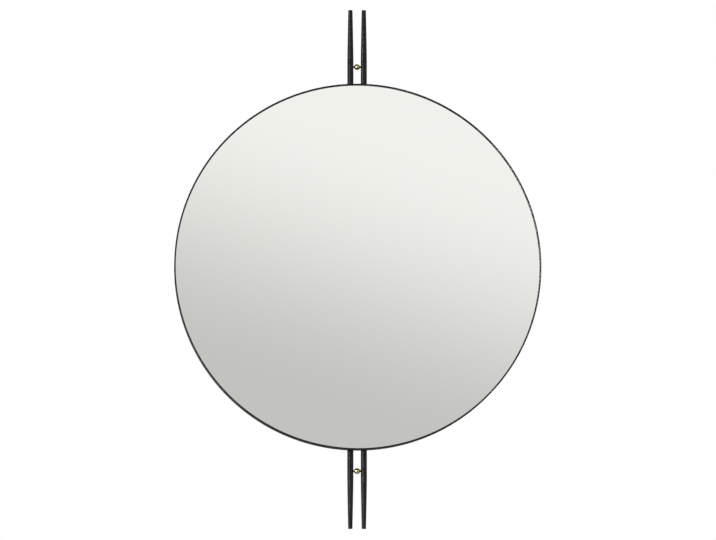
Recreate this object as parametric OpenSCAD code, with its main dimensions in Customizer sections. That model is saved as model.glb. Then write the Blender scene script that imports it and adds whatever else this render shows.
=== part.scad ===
// Round wall mirror: a framed glass disc carried by two tapered rods that
// run up behind it. Turned brass beads hold the rods apart above and below
// the disc. The rods hang on two wall brackets hidden behind the glass.
// Frame: x to the right, z up, y into the wall. The wall is the plane y = 0
// and the disc's centre is on the y axis, so the glass faces -y.

/* [Mirror disc] */
// Outer diameter of the frame ring
mirror_d = 800; // [700:10:1000]
// Thickness of the ring's wall, the rim seen from the front
rim_t = 2.25; // [2:0.25:4]
// Thickness of the glass
glass_t = 4; // [3:0.5:6]
// How far the glass lies behind the ring's front edge
glass_recess = 8; // [0.8:0.1:12]
// Gap round the glass, which the edge seal fills
seal_gap = 0.7; // [0.5:0.1:1.5]
// Thickness of the safety film on the back of the glass
film_t = 0.3; // [0.2:0.1:0.6]
// Thickness of the mounting tape between film and board
tape_t = 2; // [1:0.5:3]
// Width of one strip of mounting tape
tape_w = 25; // [15:1:40]
// Distance between the middles of two strips of tape
tape_pitch = 120; // [90:5:140]
// Thickness of the backing board
board_t = 12; // [9:1:18]

/* [Ring flange] */
// Width of the flange inside the ring, measured from the ring's outside
flange_w = 22; // [18:1:30]
// Thickness of the flange
flange_t = 3; // [3:0.25:5]
// Gap between the rods and the ring's wall, which runs back to them and hides the rails
ring_rod_gap = 0.5; // [0.3:0.1:8]

/* [Rods] */
// How far each rod stands out past the ring, above and below
rod_reach = 170; // [150:5:260]
// Diameter of a rod behind the disc
rod_d = 13.5; // [12:0.5:16]
// Diameter of a rod at its tips
rod_tip_d = 9.4; // [8:0.2:11]
// Length of the tapered stretch at each end
taper_l = 114; // [60:2:120]
// Wall of the rod's tube
rod_wall_t = 2; // [1.5:0.1:2.5]
// Distance between the two rods' middles
rod_spacing = 29.5; // [29:0.5:36]
// Height of the plug that closes a rod's tip
tip_plug_h = 5.5; // [4:0.5:9]
// Gap between the rods and the wall
rod_wall_gap = 8.5; // [8:0.5:20]

/* [Brass beads] */
// Diameter of a bead
bead_d = 13.4; // [9:0.2:14]
// Distance from the ring to a bead's middle
bead_reach = 44; // [20:1:50]
// Diameter of the pin that runs from the bead into both rods
bead_pin_d = 4.2; // [2.6:0.2:4.6]
// Radius of the hollow where the bead runs into its pin
bead_fillet_r = 2; // [0.6:0.1:2.4]

/* [Cross rails] */
// How far a rail's middle lies inside the ring's edge
rail_inset = 100; // [70:5:120]
// Height of a rail
rail_h = 30; // [26:1:40]
// Thickness of a rail
rail_t = 4; // [3:0.5:6]
// Thickness of the saddles between rail and rods
saddle_t = 12; // [8:0.5:18]
// Diameter of a saddle
saddle_d = 14; // [12:0.5:16]
// Diameter of the screws that hold the rods
rod_screw_d = 5; // [4:0.5:6]

/* [Wall brackets] */
// How far a bracket's hook lies inside the ring's edge
hook_inset = 150; // [130:5:180]
// Distance between the two wall screws of a bracket
wall_hole_spacing = 60; // [50:1:90]
// Diameter of a wall screw's hole
wall_hole_d = 5.5; // [4.5:0.5:7]
// Thickness of a bracket's plate
bracket_t = 3; // [2:0.5:5]
// Height of a bracket's plate
bracket_h = 44; // [40:1:60]
// Width of the hook's tongue
tongue_w = 12; // [8:0.5:13]
// Diameter of the bar that hangs in the hook
hanger_d = 8; // [7:0.5:9]
// Height of the hook's lip above the bar's middle
hook_lip_h = 9; // [7:0.5:12]

/* [Hidden] */

$fn = 96;

// Clearances: a close fit between still pieces, and a loose one in the hooks
fit = 0.05;
hook_play = 0.3;
// How far a cut runs past the face that it opens
cut = 1;

// Details of the disc: rounds, the glass's ground edge, and how far layers stop short
rim_round = 0.8;
arris = 0.5;
film_inset = 3;
board_gap = 0.8;
tape_inset = 30;

// The stack of layers, from the wall towards the room
rod_y = -(rod_wall_gap + rod_d / 2);
rail_y = -(rod_wall_gap + rod_d + saddle_t);
flange_y = rail_y - rail_t;
board_y = flange_y - flange_t;
tape_y = board_y - board_t;
film_y = tape_y - tape_t;
glass_y = film_y - film_t;
glass_front_y = glass_y - glass_t;
front_y = glass_front_y - glass_recess;
ring_rear_y = rod_y - rod_d / 2 - ring_rod_gap;
rear_lip = ring_rear_y - flange_y;
ring_depth = ring_rear_y - front_y;

// Radii of the disc
ring_r = mirror_d / 2;
ring_in_r = ring_r - rim_t;
glass_r = ring_in_r - seal_gap;
film_r = glass_r - film_inset;
board_r = ring_in_r - board_gap;
flange_mid_r = (ring_in_r + ring_r - flange_w) / 2;
tape_strips = 2 * floor((film_r - tape_inset) / tape_pitch);

// Rods: a taper that starts softly, in steps along its length, and the plug in its end
rod_r = rod_d / 2;
tip_r = rod_tip_d / 2;
rod_half_l = ring_r + rod_reach;
tube_half_l = rod_half_l - tip_plug_h;
rod_x = rod_spacing / 2;
taper_steps = 12;
taper_power = 1.25;
plug_spigot_l = 12;
plug_round = 1.2;
plug_chamfer = 0.25;

// What sits between the rods: the beads, and the bars that hang in the hooks
bead_z = ring_r + bead_reach;
bead_r = bead_d / 2;
pin_r = bead_pin_d / 2;
half_gap = rod_x - rod_r;
tenon_depth = 4.5;
hanger_tenon_r = 2.5;
hanger_r = hanger_d / 2;
hook_z = ring_r - hook_inset;

// Rails, and the pieces on the screws that hold the rods
rail_z = ring_r - rail_inset;
rail_edge_gap = 1.5;
rail_screw_step = 8;
rod_screw_r = rod_screw_d / 2;
washer_t = 1.6;
washer_r = 5.6;
saddle_wrap = 2.5;
washer_wrap = 1.5;
nut_r = 4.6;
nut_t = 2.4;

// Shank radius of the two small screws, and how far a board screw stays short of the front
rail_screw_r = 2;
board_screw_r = 1.75;
board_screw_stop = 3;
board_screw_l = board_t - board_screw_stop;

// Heads of the screws: radius, height, and radius of the hexagon socket
board_head = [3.4, 2.2, 1.15];
rail_head = [3.6, 2.2, 1.4];
rod_head = [4.6, 2.8, 1.75];
// Share of a head's height that its upright edge takes, and its socket's depth
head_edge_share = 0.35;
socket_share = 0.6;

// Brackets: steel beside and under the holes and the hook's notch
bracket_side = 12;
bracket_w = wall_hole_spacing + 2 * bracket_side;
bracket_round = 5;
lip_t = 5;
hook_floor_t = 9;

// Points round an arc, from one angle to another
function on_arc(middle, r, angle) = [middle[0] + r * cos(angle), middle[1] + r * sin(angle)];
function arc(middle, r, from, to, steps) =
    [for (i = [0:steps]) on_arc(middle, r, from + (to - from) * i / steps)];

// Radius of a rod at a distance from its tip, which grows fast at first and then levels out
function taper_share(t) = 1 - pow(1 - t, taper_power);
function taper_r(distance) =
    tip_r + (rod_r - tip_r) * taper_share(min(1, distance / taper_l));

// Angles of the board screws round the flange, which keep clear of the rails' ends
rail_end_angle = asin(rail_z / flange_mid_r);
board_screw_angles = [
    for (side = [0, 180], share = [-1, 1]) side + share * rail_end_angle / 3,
    for (side = [90, 270], share = [-1, 1]) side + share * (90 - rail_end_angle) / 2
];

// A flat plate whose outline is drawn in x and z, from y_back towards the room
module layer(y_back, t) {
    translate([0, y_back, 0]) rotate([90, 0, 0]) linear_extrude(t) children();
}

// A body turned about the mirror's axis: its outline is radius and depth from y_back
module turned(y_back) {
    translate([0, y_back, 0]) rotate([90, 0, 0]) rotate_extrude($fn = 180) children();
}

// A round bar along y, from y_back towards the room, at x and z
module peg(x, z, y_back, l, r) {
    translate([x, y_back, z]) rotate([90, 0, 0]) cylinder(h = l, r = r);
}

// A round bar along x, with its middle at the given height on the rods' plane
module bar_across(z, half_l, r) {
    translate([-half_l, rod_y, z]) rotate([0, 90, 0]) cylinder(h = 2 * half_l, r = r);
}

// A button head with a hexagon socket, standing on y_seat and facing the wall
module button_head(x, z, y_seat, head) {
    r = head[0];
    h = head[1];
    edge_h = h * head_edge_share;
    round_r = h - edge_h;
    socket_depth = h * socket_share;
    translate([x, y_seat, z]) rotate([-90, 0, 0]) difference() {
        rotate_extrude() polygon(concat(
            [[0, 0], [r, 0]],
            arc([r - round_r, edge_h], round_r, 0, 90, 6),
            [[0, h]]
        ));
        translate([0, 0, h - socket_depth]) cylinder(h = socket_depth + cut, r = head[2], $fn = 6);
    }
}

module rounded_plate(w, h, r) {
    square([w - 2 * r, h], center = true);
    square([w, h - 2 * r], center = true);
    for (sx = [-1, 1], sz = [-1, 1])
        translate([sx * (w / 2 - r), sz * (h / 2 - r)]) circle(r);
}

// Heights at which a rail screw sits: one above and one below the rail's middle
function rail_screw_z(upper, step) = upper * rail_z + step * rail_screw_step;
function rail_screw_x(z) = sqrt(pow(flange_mid_r, 2) - pow(z, 2));

module at_rail_screws(upper) {
    for (side = [-1, 1], step = [-1, 1]) {
        z = rail_screw_z(upper, step);
        translate([side * rail_screw_x(z), 0, z]) children();
    }
}

module at_board_screws() {
    for (a = board_screw_angles)
        translate([flange_mid_r * cos(a), 0, flange_mid_r * sin(a)]) children();
}

module at_rods() {
    for (side = [-1, 1]) translate([side * rod_x, 0, 0]) children();
}

// Rolled steel hoop, black: a thin wall round the glass with a flange welded inside
module frame_ring() {
    color([0.05, 0.05, 0.055]) difference() {
        turned(ring_rear_y) polygon(concat(
            arc([ring_in_r + rim_round, rim_round], rim_round, 180, 270, 5),
            arc([ring_r - rim_round, rim_round], rim_round, -90, 0, 5),
            arc([ring_r - rim_round, ring_depth - rim_round], rim_round, 0, 90, 5),
            arc([ring_in_r + rim_round, ring_depth - rim_round], rim_round, 90, 180, 5),
            [[ring_in_r, rear_lip + flange_t], [ring_r - flange_w, rear_lip + flange_t],
             [ring_r - flange_w, rear_lip], [ring_in_r, rear_lip]]
        ));
        for (upper = [-1, 1]) at_rail_screws(upper)
            peg(0, 0, flange_y + cut, flange_t + 2 * cut, rail_screw_r + fit);
        at_board_screws()
            peg(0, 0, flange_y + cut, flange_t + 2 * cut, board_screw_r + fit);
    }
}

// Black rubber strip pressed in round the edge of the glass
module edge_seal() {
    color([0.03, 0.03, 0.03]) turned(glass_y) polygon([
        [glass_r + fit, 0], [ring_in_r - fit, 0],
        [ring_in_r - fit, glass_t - arris], [glass_r + fit, glass_t - arris]
    ]);
}

// Silvered float glass, its edges taken off by a small arris
module mirror_glass() {
    color([0.86, 0.88, 0.87]) turned(glass_y) polygon([
        [0, 0], [glass_r - arris, 0], [glass_r, arris],
        [glass_r, glass_t - arris], [glass_r - arris, glass_t], [0, glass_t]
    ]);
}

module safety_film() {
    color([0.55, 0.58, 0.6]) layer(film_y, film_t) circle(film_r, $fn = 180);
}

// Vertical strips of double-sided foam tape
module mounting_tape() {
    color([0.92, 0.92, 0.9]) layer(tape_y, tape_t)
        for (i = [0:tape_strips - 1]) {
            x = (i - (tape_strips - 1) / 2) * tape_pitch;
            far_x = abs(x) + tape_w / 2;
            h = 2 * sqrt(pow(film_r - tape_inset, 2) - pow(far_x, 2));
            translate([x, 0]) square([tape_w, h], center = true);
        }
}

// Painted fibreboard disc with pilot holes for its screws
module backing_board() {
    color([0.13, 0.12, 0.11]) difference() {
        layer(board_y, board_t) circle(board_r, $fn = 180);
        at_board_screws()
            peg(0, 0, board_y + cut, board_screw_l + cut + fit, board_screw_r + fit);
    }
}

// Screws from behind, through the flange into the board
module board_screws() {
    color([0.6, 0.6, 0.62]) at_board_screws() {
        peg(0, 0, flange_y, flange_t + board_screw_l, board_screw_r);
        button_head(0, 0, flange_y, board_head);
    }
}

// Flat steel bar across the ring, on its flange, with ends cut to the curve of its wall
module cross_rail(upper) {
    color([0.06, 0.06, 0.065]) difference() {
        layer(rail_y, rail_t) intersection() {
            circle(ring_in_r - rail_edge_gap, $fn = 180);
            translate([0, upper * rail_z]) square([mirror_d, rail_h], center = true);
        }
        at_rail_screws(upper)
            peg(0, 0, rail_y + cut, rail_t + 2 * cut, rail_screw_r + fit);
        at_rods()
            peg(0, upper * rail_z, rail_y + cut, rail_t + 2 * cut, rod_screw_r + fit);
    }
}

// Button screws that hold a rail's ends to the flange
module rail_screws(upper) {
    color([0.08, 0.08, 0.08]) at_rail_screws(upper) {
        peg(0, 0, rail_y, rail_t + flange_t, rail_screw_r);
        button_head(0, 0, rail_y, rail_head);
    }
}

// Tapered steel tube, open at both ends, with holes for what it carries
module rod(side) {
    outline = concat(
        [for (i = [0:taper_steps])
            let (z = -tube_half_l + (taper_l - tip_plug_h) * i / taper_steps)
            [taper_r(rod_half_l + z), z]],
        [for (i = [taper_steps:-1:0])
            let (z = tube_half_l - (taper_l - tip_plug_h) * i / taper_steps)
            [taper_r(rod_half_l - z), z]]
    );
    bore = [for (i = [len(outline) - 1:-1:0]) [outline[i][0] - rod_wall_t, outline[i][1]]];
    color([0.05, 0.05, 0.055]) difference() {
        translate([side * rod_x, rod_y, 0]) rotate_extrude() polygon(concat(outline, bore));
        for (z = [-bead_z, bead_z]) bar_across(z, rod_x, pin_r + fit);
        for (z = [-hook_z, hook_z]) bar_across(z, rod_x, hanger_tenon_r + fit);
        for (z = [-rail_z, rail_z])
            peg(side * rod_x, z, rod_y + rod_d, 2 * rod_d, rod_screw_r + fit);
    }
}

// Turned plug that closes a rod's tip: a head that ends the taper, and a spigot in the bore
module rod_tip(side, upper) {
    base_r = taper_r(tip_plug_h);
    spigot_r = base_r - rod_wall_t - fit;
    color([0.05, 0.05, 0.055]) translate([side * rod_x, rod_y, upper * tube_half_l])
        rotate([upper > 0 ? 0 : 180, 0, 0]) rotate_extrude() polygon(concat(
            [[0, -plug_spigot_l], [spigot_r, -plug_spigot_l], [spigot_r, 0],
             [base_r - plug_chamfer, 0], [base_r, plug_chamfer]],
            arc([tip_r - plug_round, tip_plug_h - plug_round], plug_round, 0, 90, 6),
            [[0, tip_plug_h]]
        ));
}

// Turned brass bead that runs out on each side into a pin, which enters the rod
module brass_bead(upper) {
    pin_l = half_gap + tenon_depth;
    // The hollow ends before the rod's wall, which limits its radius
    room = pow(half_gap, 2) - pow(bead_r, 2) + pow(pin_r, 2);
    fillet_r = min(bead_fillet_r, room / (2 * (bead_r - pin_r)));
    hollow_r = pin_r + fillet_r;
    hollow_l = sqrt(pow(bead_r + fillet_r, 2) - pow(hollow_r, 2));
    meet = atan2(hollow_l, hollow_r);
    color([0.78, 0.62, 0.3]) translate([0, rod_y, upper * bead_z]) rotate([0, 90, 0])
        rotate_extrude() polygon(concat(
            [[0, -pin_l], [pin_r, -pin_l]],
            arc([hollow_r, -hollow_l], fillet_r, 180, 180 - meet, 6),
            arc([0, 0], bead_r, -meet, meet, 24),
            arc([hollow_r, hollow_l], fillet_r, 180 + meet, 180, 6),
            [[pin_r, pin_l], [0, pin_l]]
        ));
}

// Steel bar that hangs in a hook: a thick middle between the rods, and a tenon in each
module hanger_bar(upper) {
    color([0.6, 0.6, 0.62]) {
        bar_across(upper * hook_z, half_gap - fit, hanger_r);
        bar_across(upper * hook_z, half_gap + tenon_depth, hanger_tenon_r);
    }
}

// Spacers between the rail and the rods, hollowed to the rods' round
module rod_saddles(upper) {
    color([0.06, 0.06, 0.065]) at_rods() difference() {
        peg(0, upper * rail_z, rail_y + saddle_t + saddle_wrap, saddle_t + saddle_wrap, saddle_d / 2);
        peg(0, upper * rail_z, 0, -rail_y + cut, rod_screw_r + fit);
        translate([0, rod_y, upper * rail_z])
            cylinder(h = saddle_d + 2 * cut, r = rod_r + fit, center = true);
    }
}

// Hollowed washers under the heads of the rod screws
module saddle_washers(upper) {
    seat_y = rod_y + rod_r;
    color([0.6, 0.6, 0.62]) at_rods() difference() {
        peg(0, upper * rail_z, seat_y + washer_t, washer_t + washer_wrap, washer_r);
        peg(0, upper * rail_z, 0, rod_wall_gap + rod_d, rod_screw_r + fit);
        translate([0, rod_y, upper * rail_z])
            cylinder(h = 2 * washer_r + 2 * cut, r = rod_r + fit, center = true);
    }
}

// Screws from behind, through washer, rod, saddle and rail into the nut
module rod_screws(upper) {
    seat_y = rod_y + rod_r + washer_t;
    color([0.6, 0.6, 0.62]) at_rods() {
        peg(0, upper * rail_z, seat_y, seat_y - rail_y + rail_t + nut_t, rod_screw_r);
        button_head(0, upper * rail_z, seat_y, rod_head);
    }
}

// Nuts pressed into the front of the rail, in the space beside the board
module rail_nuts(upper) {
    color([0.6, 0.6, 0.62]) at_rods() difference() {
        peg(0, upper * rail_z, flange_y, nut_t, nut_r);
        peg(0, upper * rail_z, flange_y + cut, nut_t + 2 * cut, rod_screw_r + fit);
    }
}

// Wall plate with a hook between the rods, open upwards for the hanger bar
module wall_bracket(upper) {
    notch_r = hanger_r + hook_play;
    lip_y = rod_y - notch_r - lip_t;
    floor_z = -hanger_r - hook_floor_t;
    color([0.62, 0.62, 0.64]) translate([0, 0, upper * hook_z]) {
        difference() {
            layer(0, bracket_t) rounded_plate(bracket_w, bracket_h, bracket_round);
            for (side = [-1, 1])
                peg(side * wall_hole_spacing / 2, 0, cut, bracket_t + 2 * cut, wall_hole_d / 2);
        }
        translate([-tongue_w / 2, 0, 0]) rotate([90, 0, 90]) linear_extrude(tongue_w) difference() {
            union() {
                translate([lip_y, floor_z])
                    square([-bracket_t / 2 - lip_y, hook_lip_h - lip_t / 2 - floor_z]);
                translate([rod_y + notch_r, floor_z])
                    square([-bracket_t / 2 - rod_y - notch_r, hook_lip_h - floor_z]);
                translate([lip_y + lip_t / 2, hook_lip_h - lip_t / 2]) circle(lip_t / 2);
            }
            translate([rod_y, 0]) circle(notch_r);
            translate([rod_y - notch_r, 0]) square([2 * notch_r, hook_lip_h + cut]);
        }
    }
}

frame_ring();
edge_seal();
mirror_glass();
safety_film();
mounting_tape();
backing_board();
board_screws();
cross_rail(1);  // cross_rail_upper
cross_rail(-1);  // cross_rail_lower
rail_screws(1);  // rail_screws_upper
rail_screws(-1);  // rail_screws_lower
rod(-1);  // rod_left
rod(1);  // rod_right
rod_tip(-1, 1);  // rod_tip_upper_left
rod_tip(1, 1);  // rod_tip_upper_right
rod_tip(-1, -1);  // rod_tip_lower_left
rod_tip(1, -1);  // rod_tip_lower_right
brass_bead(1);  // brass_bead_upper
brass_bead(-1);  // brass_bead_lower
hanger_bar(1);  // hanger_bar_upper
hanger_bar(-1);  // hanger_bar_lower
rod_saddles(1);  // rod_saddles_upper
rod_saddles(-1);  // rod_saddles_lower
saddle_washers(1);  // saddle_washers_upper
saddle_washers(-1);  // saddle_washers_lower
rod_screws(1);  // rod_screws_upper
rod_screws(-1);  // rod_screws_lower
rail_nuts(1);  // rail_nuts_upper
rail_nuts(-1);  // rail_nuts_lower
wall_bracket(1);  // wall_bracket_upper
wall_bracket(-1);  // wall_bracket_lower
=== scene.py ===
# %% [markdown] # A round mirror on two tapered rods  This lesson dresses the packed CAD model of a
# wall mirror: a silvered disc in a thin steel hoop, carried by two tube rods that run up behind it,
# with a small brass bead between the rods above and below. Each step takes one piece of the real
# object, says what it is, and makes it again as a smooth surface worked out with numpy, or keeps
# its solid and gives that a finish. Each new piece rides on one of its two bodies: the mirror,
# which lifts off, and the brackets, which stay on the wall.

# %% Load the model
import math

import bmesh
import bpy
import numpy as np
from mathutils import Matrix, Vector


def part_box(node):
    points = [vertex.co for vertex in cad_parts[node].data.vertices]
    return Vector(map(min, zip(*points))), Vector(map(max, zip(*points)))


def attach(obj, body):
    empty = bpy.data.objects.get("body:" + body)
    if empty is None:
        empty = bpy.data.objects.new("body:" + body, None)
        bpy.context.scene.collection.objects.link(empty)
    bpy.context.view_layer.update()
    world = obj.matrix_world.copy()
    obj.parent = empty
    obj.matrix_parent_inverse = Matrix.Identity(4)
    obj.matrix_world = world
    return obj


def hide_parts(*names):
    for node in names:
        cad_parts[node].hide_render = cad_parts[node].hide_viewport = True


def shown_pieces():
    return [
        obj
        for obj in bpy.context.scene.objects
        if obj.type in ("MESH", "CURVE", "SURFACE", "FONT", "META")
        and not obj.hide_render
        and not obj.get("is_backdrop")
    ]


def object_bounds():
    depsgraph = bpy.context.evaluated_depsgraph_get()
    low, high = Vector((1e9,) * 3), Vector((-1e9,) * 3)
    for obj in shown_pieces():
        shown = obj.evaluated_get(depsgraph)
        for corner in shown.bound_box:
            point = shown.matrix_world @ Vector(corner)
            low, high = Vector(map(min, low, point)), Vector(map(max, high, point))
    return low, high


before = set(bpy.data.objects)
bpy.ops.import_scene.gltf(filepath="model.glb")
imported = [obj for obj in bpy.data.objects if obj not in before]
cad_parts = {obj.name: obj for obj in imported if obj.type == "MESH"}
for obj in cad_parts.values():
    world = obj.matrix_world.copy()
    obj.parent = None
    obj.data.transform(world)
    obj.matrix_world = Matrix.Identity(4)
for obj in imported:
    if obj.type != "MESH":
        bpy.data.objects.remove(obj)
cad_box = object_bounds()

# %% [markdown]
# ## The camera
#
# The photograph was taken from far off with a long lens, from a little to the left and below, so the
# hoop's underside shows as a second dark line. The lens follows from the scale: so many pixels to a
# millimetre at the mirror. The aim lies a few millimetres off the middle, as in the photograph, so
# the lens needs no shift.

# %% Camera
MM = 0.001
PICTURE = (716, 540)
CAMERA_DISTANCE = 10.0
CAMERA_AZIMUTH = -2.4
CAMERA_ELEVATION = -5.6
PIXELS_PER_MM = 0.45815
TARGET = np.array([0.0, -36.0, 0.0])
TARGET_PIXEL = (357.49, 267.25)


def towards(azimuth, elevation=0.0):
    """The unit vector from the mirror to a place, from its azimuth and elevation in degrees.
    Azimuth 0 is straight in front and 90 at the right."""
    a, e = math.radians(azimuth), math.radians(elevation)
    return np.array([math.sin(a) * math.cos(e), -math.cos(a) * math.cos(e), math.sin(e)])


def put(name, data, location=(0.0, 0.0, 0.0), back=None):
    """Adds an object to the scene. back is where its own +z points: a camera or lamp looks the
    other way."""
    made = bpy.data.objects.new(name, data)
    made.location = location
    if back is not None:
        made.rotation_mode = "QUATERNION"
        made.rotation_quaternion = Vector(back).to_track_quat("Z", "Y")
    bpy.context.scene.collection.objects.link(made)
    return made


away = towards(CAMERA_AZIMUTH, CAMERA_ELEVATION)
rightward = towards(CAMERA_AZIMUTH + 90)
upward = np.cross(away, rightward)
off_right = (PICTURE[0] / 2 - TARGET_PIXEL[0]) / PIXELS_PER_MM
off_up = (TARGET_PIXEL[1] - PICTURE[1] / 2) / PIXELS_PER_MM
aim = (TARGET + rightward * off_right + upward * off_up) * MM

camera_data = bpy.data.cameras.new("camera")
camera_data.sensor_width = 36.0
camera_data.lens = camera_data.sensor_width * PIXELS_PER_MM * CAMERA_DISTANCE / MM / PICTURE[0]
camera_data.clip_end = 200.0
bpy.context.scene.camera = put("camera", camera_data, aim + away * CAMERA_DISTANCE, away)
bpy.context.scene.view_settings.view_transform = "Standard"
print("lens %.1f mm, aimed %.1f mm right and %.1f mm up" % (camera_data.lens, off_right, off_up))

# %% [markdown]
# ## Sums of shader sockets
#
# A finish is a net of nodes, and most of them are plain arithmetic. Wiring each Math node by hand
# hides the formula. A small class that stands for one output socket, with Python's own operators
# on it, lets a finish be written as it is thought: `0.4 + cloud * 0.1`. A second class holds the net,
# and its one method adds any node.

# %% A socket with operators, and a node tree with one method
class Value:
    """One output of a shader node. A Python sum of Values adds the Math nodes it needs."""

    def __init__(self, finish, socket):
        self.finish = finish
        self.socket = socket

    def output(self, name):
        """Another output of the same node."""
        return Value(self.finish, self.socket.node.outputs[name])

    def math(self, operation, *sockets):
        return self.finish.node("Math", dict(enumerate(sockets)), operation=operation)

    def __add__(self, other):
        return self.math("ADD", self, other)

    def __sub__(self, other):
        return self.math("SUBTRACT", self, other)

    def __rsub__(self, other):
        return self.math("SUBTRACT", other, self)

    def __mul__(self, other):
        return self.math("MULTIPLY", self, other)

    def __abs__(self):
        return self.math("ABSOLUTE", self)

    __radd__ = __add__
    __rmul__ = __mul__


class Finish:
    """The node tree of a material or of the world."""

    def __init__(self, owner):
        owner.use_nodes = True
        self.owner = owner
        self.tree = owner.node_tree
        self.tree.nodes.clear()

    def node(self, kind, sockets=None, output=0, **settings):
        """Adds a node with its settings, and gives its sockets values or links. Returns an output."""
        made = self.tree.nodes.new("ShaderNode" + kind)
        for name, value in settings.items():
            setattr(made, name, value)
        for name, value in (sockets or {}).items():
            if isinstance(value, Value):
                self.tree.links.new(value.socket, made.inputs[name])
            else:
                made.inputs[name].default_value = value
        return Value(self, made.outputs[output]) if made.outputs else None


print("operators on sockets:", ", ".join(name for name in vars(Value) if name.startswith("__r")))

# %% [markdown]
# ## Light and air
#
# The photograph is a studio cut-out: pure white behind, an even soft light on the object, and in
# the glass a pale studio wall that fades from near white above to light grey below. A mirror has no
# colour of its own, so that sweep has to be in the room it looks into. The world answers by ray:
# the camera gets plain white, a mirrored ray the studio, and every other ray the even light of the
# room.
#
# The studio is a pale wall, a smooth step with height that leans a little to the right as in the
# picture. The floor grows darker downwards and the ceiling is dark. A dark drape straight behind the
# object, with a gap at its upper left, gives polished metal its dark outline. Three tall, narrow and
# very bright cards stand far off, left and right of all that the glass shows to a camera near the
# front. They draw the upright highlights on the rods and the spot on the brass.

# %% The world
ROOM_LIGHT = 0.62
WALL_LOW = 0.599
WALL_HIGH = 0.977
SWEEP = (0.0775, 0.142)
SWEEP_LEAN = 0.325
FLOOR_TONE, FLOOR_FADE = 0.72, (-0.9, 0.03)
CEILING_TONE, CEILING_FADE = 0.2, (0.17, 0.55)
DRAPE, DRAPE_BACK, DRAPE_SIDE = 0.94, (-0.1, 0.35), (0.35, 0.7)
GAP_SLANT, GAP_BACK = (-0.1, 0.15), (0.5, 0.9)
# azimuth in degrees, sine of half the width, height of the foot as a sine, light
CARDS = (-52, 0.07, -0.1, 46.0), (-25, 0.03, -0.3, 35.0), (51, 0.03, -0.1, 13.0)
CARD_EDGE, CARD_FOOT, CARD_TOP, CARD_FRONT = 0.02, 0.05, (0.14, 0.26), (0.0, 0.2)

world = bpy.data.worlds.new("studio_air")
bpy.context.scene.world = world
air = Finish(world)


def step_between(value, low, high, bottom=0.0, top=1.0):
    """Goes from bottom to top as value goes from low to high, with a soft start and end:
    with t the clamped share of the way, bottom + (top - bottom) * (3 t^2 - 2 t^3)."""
    sockets = {"Value": value, "From Min": low, "From Max": high, "To Min": bottom, "To Max": top}
    return value.finish.node("MapRange", sockets, interpolation_type="SMOOTHSTEP")


direction = air.node("TexCoord", output="Generated")
look_x = air.node("SeparateXYZ", {0: direction})
look_y = look_x.output("Y")
look_z = look_x.output("Z")
leaning = look_z + look_x * SWEEP_LEAN
sweep = step_between(leaning, *SWEEP, WALL_LOW, WALL_HIGH)
floor_tone = step_between(leaning, *FLOOR_FADE, FLOOR_TONE, 1.0)
behind = step_between(look_y, *DRAPE_BACK) * step_between(abs(look_x), *DRAPE_SIDE, 1.0, 0.0)
gap = step_between(look_z - look_x, *GAP_SLANT) * step_between(look_y, *GAP_BACK)
ceiling = step_between(look_z, *CEILING_FADE, 1.0, CEILING_TONE)
studio_wall = sweep * floor_tone * ceiling * (1 - behind * (1 - gap) * DRAPE)


def lit_card(azimuth, half_width, foot, light):
    """A tall bright card far off, from its foot to a little above the horizon. With b a ray's
    azimuth, it covers sin(b - azimuth) from -half_width to half_width, with soft edges."""
    a = math.radians(azimuth)
    across = abs(look_x * math.cos(a) + look_y * math.sin(a))
    ahead = look_x * math.sin(a) - look_y * math.cos(a)
    wide = step_between(across, half_width - CARD_EDGE, half_width + CARD_EDGE, 1.0, 0.0)
    tall = step_between(look_z, foot, foot + CARD_FOOT) * step_between(look_z, *CARD_TOP, 1.0, 0.0)
    return wide * tall * step_between(ahead, *CARD_FRONT) * light


studio = studio_wall
for card in CARDS:
    studio = studio + lit_card(*card)
ray = air.node("LightPath", output="Is Camera Ray")
mirrored = ray.output("Is Glossy Ray") + ray.output("Is Transmission Ray")
strength = ray + (1 - ray) * (mirrored * studio + (1 - mirrored) * ROOM_LIGHT)
backdrop = air.node("Background", {"Color": (1, 1, 1, 1), "Strength": strength})
air.node("OutputWorld", {"Surface": backdrop})
print("studio wall from %.2f to %.2f, room light %.2f" % (WALL_LOW, WALL_HIGH, ROOM_LIGHT))

# %% [markdown]
# ## Lamps
#
# The cards show only where something mirrors them, so the shading of the rest comes from soft
# boxes: a large one high at the left and a weaker one high at the right, where no view from beside
# or above finds them in the glass, and one behind for whoever walks round. A lamp's power is worked
# out from what it should add on a white card that faces it: pi squared times the distance squared,
# times that share.

# %% Soft boxes
def soft_box(name, azimuth, elevation, distance, width, height, share):
    """A rectangle lamp at a direction and distance from the mirror's middle, facing it. share is
    what it adds to a white card there."""
    data = bpy.data.lights.new(name, "AREA")
    data.shape = "RECTANGLE"
    data.size, data.size_y = width, height
    data.energy = math.pi**2 * distance**2 * share
    back = towards(azimuth, elevation)
    put(name, data, back * distance, back)
    print("%s: %.0f W" % (name, data.energy))


soft_box("main_lamp", -50, 64, 3.6, 4.8, 4.2, 0.2)
soft_box("fill_lamp", 60, 60, 4.0, 4.8, 4.2, 0.1)
soft_box("back_lamp", 168, 38, 4.0, 2.4, 1.8, 0.22)

# %% [markdown]
# ## A grid of points becomes a piece
#
# Each surface in this lesson is a function of two parameters on a grid: rows run along a profile,
# columns run round. A row whose points all fall together closes the shape as a pole, and a ring
# closes by joining its last row to its first. Merging points that coincide makes poles and seams
# solid, and the normals are then turned outwards. Each point also carries a number called wear, 1 on
# a rounded edge and 0 on a flat, which the finishes read to rub their edges. A look is the name of a
# material slot with the finishes that go into it.

# %% From grid to object
MERGE_DISTANCE = 2e-7
SMOOTH_BELOW = math.radians(32)


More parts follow.
